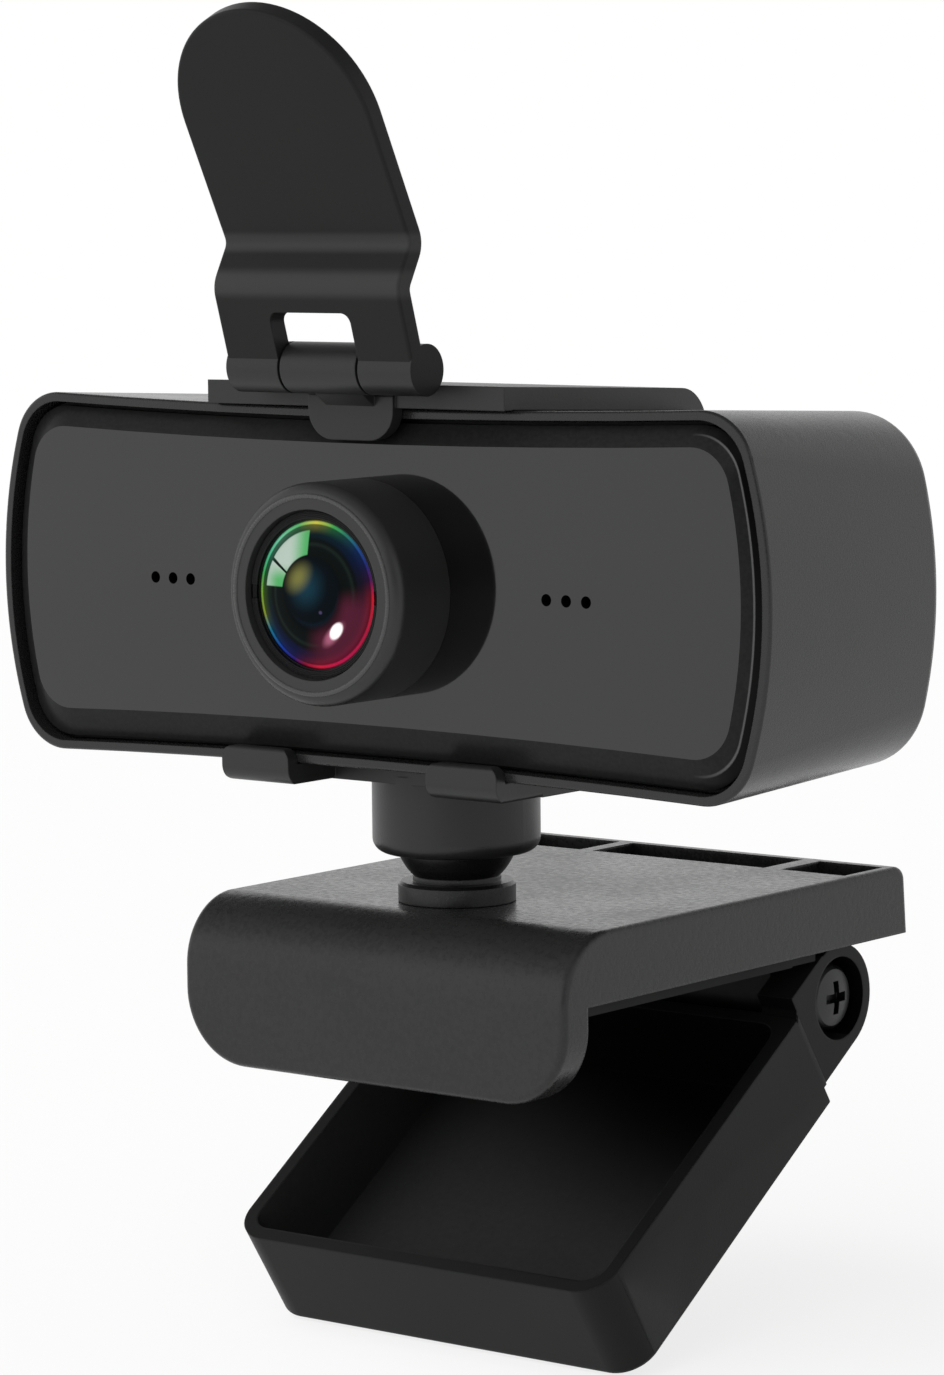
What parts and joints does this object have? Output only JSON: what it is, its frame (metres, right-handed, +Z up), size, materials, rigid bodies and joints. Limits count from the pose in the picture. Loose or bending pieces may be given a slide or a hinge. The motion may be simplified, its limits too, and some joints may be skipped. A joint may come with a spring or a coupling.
{
  "type": "monitor-clip webcam",
  "caption": "Wide webcam head with a flip-up privacy cover, on a ball joint above a folding clip that hooks over a monitor.",
  "frame": {"origin": "on the clip's rest face, the underside of its soft pad that sits on a monitor's top edge, straight below the swivel post", "axes": "+Z up, -Y the way the lens looks at rest, +X across the head; the cover stands open and the leg is part-folded at rest"},
  "size_m": [0.0768, 0.0615, 0.1067],
  "materials": {
    "shell_plastic": "fine spark-textured black ABS",
    "clip_plastic": "fine spark-textured black ABS",
    "cover_plastic": "satin black ABS",
    "barrel_plastic": "satin black ABS",
    "inner_plastic": "plain black PC-ABS",
    "panel_acrylic": "polished black acrylic",
    "pad_rubber": "matte",
    "gland_rubber": "matte",
    "mic_rubber": "matte",
    "adhesive": "closed-cell foam tape",
    "seat_nylon": "natural nylon",
    "black_steel": "black oxide",
    "pin_steel": "ground",
    "screw_steel": "zinc plated",
    "lens_black": "black anodised",
    "optical_glass": "multi-coated",
    "filter_glass": "infrared cut-off coating",
    "sensor_ceramic": "ceramic package",
    "board_fr4": "green solder mask",
    "chip_epoxy": "moulded epoxy",
    "header_nylon": "natural nylon",
    "capsule_metal": "drawn"
  },
  "bodies": {
    "clip": {"clip_bracket": "clip_plastic", "clip_underplate": "inner_plastic", "rest_pad": "pad_rubber", "underplate_screws": "screw_steel", "hinge_screws": "black_steel", "hinge_washers": "seat_nylon"},
    "leg": {"clip_leg": "clip_plastic"},
    "swivel": {"swivel_post": "black_steel", "post_washer": "screw_steel", "post_screw": "screw_steel"},
    "seat": {"ball_seat": "seat_nylon"},
    "head": {"head_housing": "shell_plastic", "front_carrier": "inner_plastic", "carrier_screws": "screw_steel", "panel_adhesive": "adhesive", "front_panel": "panel_acrylic", "lens_barrel": "barrel_plastic", "lens_cell": "lens_black", "front_element": "optical_glass", "spacer_ring": "lens_black", "inner_element": "optical_glass", "rear_element": "optical_glass", "lens_holder": "inner_plastic", "ir_filter": "filter_glass", "image_sensor": "sensor_ceramic", "main_board": "board_fr4", "board_screws": "screw_steel", "image_processor": "chip_epoxy", "usb_header": "header_nylon", "mic_boots": "mic_rubber", "microphones": "capsule_metal", "cable_gland": "gland_rubber", "cradle": "shell_plastic", "seat_cap": "inner_plastic", "hinge_pin": "pin_steel"},
    "cover": {"privacy_flap": "cover_plastic"}
  },
  "joints": [
    {"name": "pan", "type": "hinge", "parent": "clip", "child": "swivel", "pos_m": [0, 0, 0.0064], "axis": [0, 0, 1], "continuous": true},
    {"name": "tilt", "type": "hinge", "parent": "swivel", "child": "seat", "pos_m": [0, 0, 0.01205], "axis": [1, 0, 0], "range_deg": [-18, 18]},
    {"name": "roll", "type": "hinge", "parent": "seat", "child": "head", "pos_m": [0, 0, 0.01205], "axis": [0, 1, 0], "range_deg": [-15, 15]},
    {"name": "cover_hinge", "type": "hinge", "parent": "head", "child": "cover", "pos_m": [0, -0.01456, 0.04948], "axis": [1, 0, 0], "range_deg": [-90, 147]},
    {"name": "leg_hinge", "type": "hinge", "parent": "clip", "child": "leg", "pos_m": [0, 0.02658, -0.0035], "axis": [1, 0, 0], "range_deg": [-10, 120]}
  ]
}
